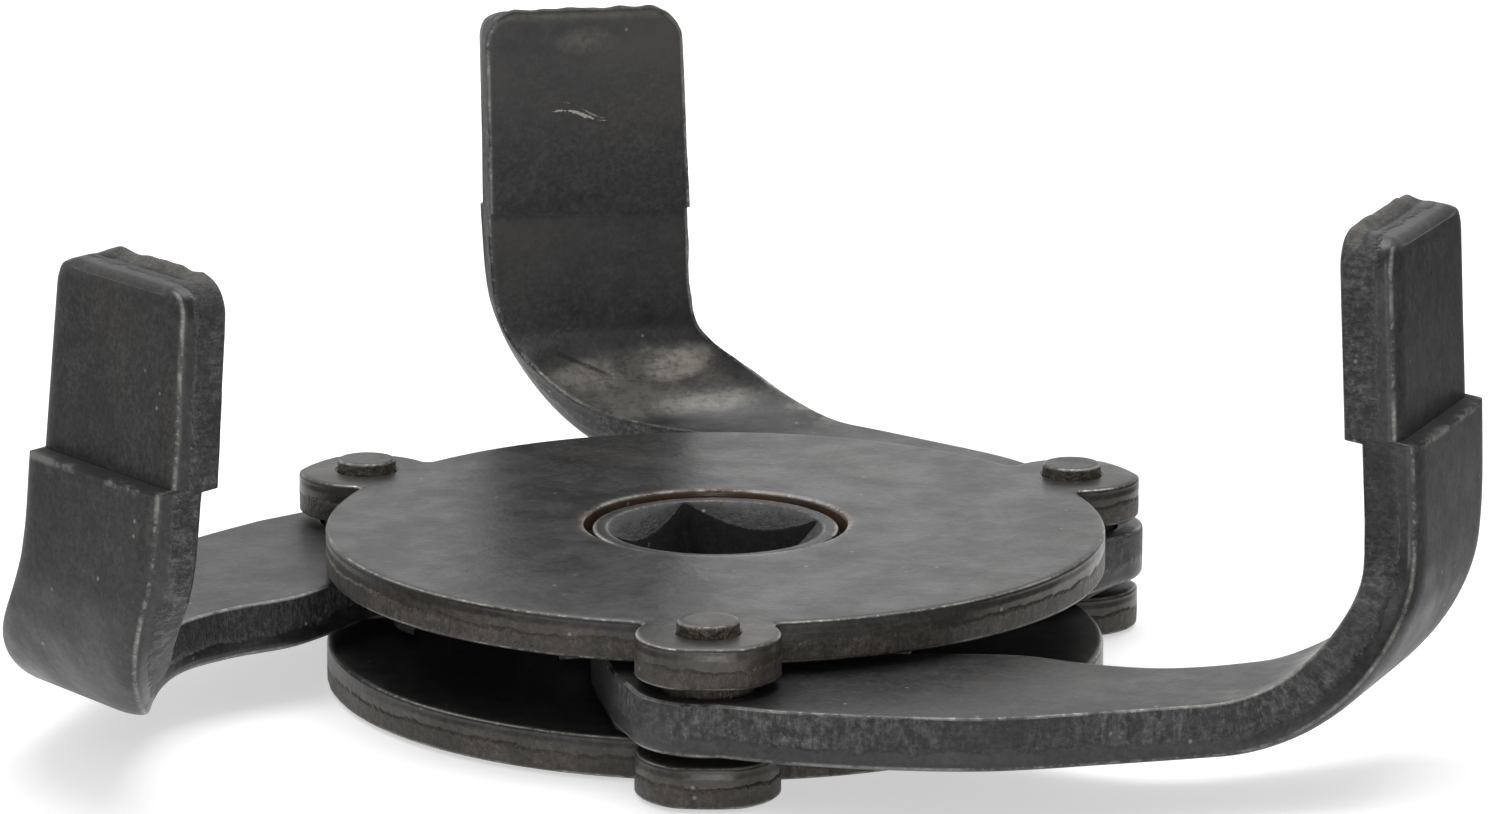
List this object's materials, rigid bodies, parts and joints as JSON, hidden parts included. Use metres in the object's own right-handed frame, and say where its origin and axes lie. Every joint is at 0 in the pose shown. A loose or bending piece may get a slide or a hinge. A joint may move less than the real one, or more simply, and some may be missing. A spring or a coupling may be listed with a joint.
{
  "type": "oil filter wrench",
  "caption": "Oil filter wrench: a square-drive hub between two round plates swings geared jaw arms that grip a filter can.",
  "frame": {"origin": "the drive hub's axis at the underside of the bottom plate", "axes": "+Z along the drive hub's axis, from the bottom plate towards the jaw tips; the front pivot pin is on -Y, and +X points to the right of it"},
  "size_m": [0.1196, 0.1094, 0.0471],
  "materials": {
    "plate_steel": "black oxide, satin",
    "arm_steel": "black oxide, satin",
    "hub_steel": "black oxide, slightly worn",
    "pin_steel": "black oxide, slightly worn"
  },
  "bodies": {
    "frame": {"bottom_plate": "plate_steel", "top_plate": "plate_steel", "pivot_pin_front": "pin_steel", "pivot_pin_right": "pin_steel", "pivot_pin_left": "pin_steel"},
    "drive_gear": {"drive_hub": "hub_steel"},
    "arm_front": {"jaw_arm_front": "arm_steel"},
    "arm_right": {"jaw_arm_right": "arm_steel"},
    "arm_left": {"jaw_arm_left": "arm_steel"}
  },
  "joints": [
    {"name": "drive_spin", "type": "hinge", "parent": "frame", "child": "drive_gear", "pos_m": [0, 0, 0.0065], "axis": [0, 0, 1], "range_deg": [-39, 14]},
    {"name": "arm_front_swing", "type": "hinge", "parent": "frame", "child": "arm_front", "pos_m": [0, -0.035, 0.0065], "axis": [0, 0, 1], "range_deg": [-10.5, 29.25]},
    {"name": "arm_right_swing", "type": "hinge", "parent": "frame", "child": "arm_right", "pos_m": [0.03031, 0.0175, 0.0065], "axis": [0, 0, 1], "range_deg": [-10.5, 29.25]},
    {"name": "arm_left_swing", "type": "hinge", "parent": "frame", "child": "arm_left", "pos_m": [-0.03031, 0.0175, 0.0065], "axis": [0, 0, 1], "range_deg": [-10.5, 29.25]}
  ],
  "couplings": [
    {"joint": "arm_front_swing", "follows": "drive_spin", "ratio": -0.75},
    {"joint": "arm_right_swing", "follows": "drive_spin", "ratio": -0.75},
    {"joint": "arm_left_swing", "follows": "drive_spin", "ratio": -0.75}
  ]
}
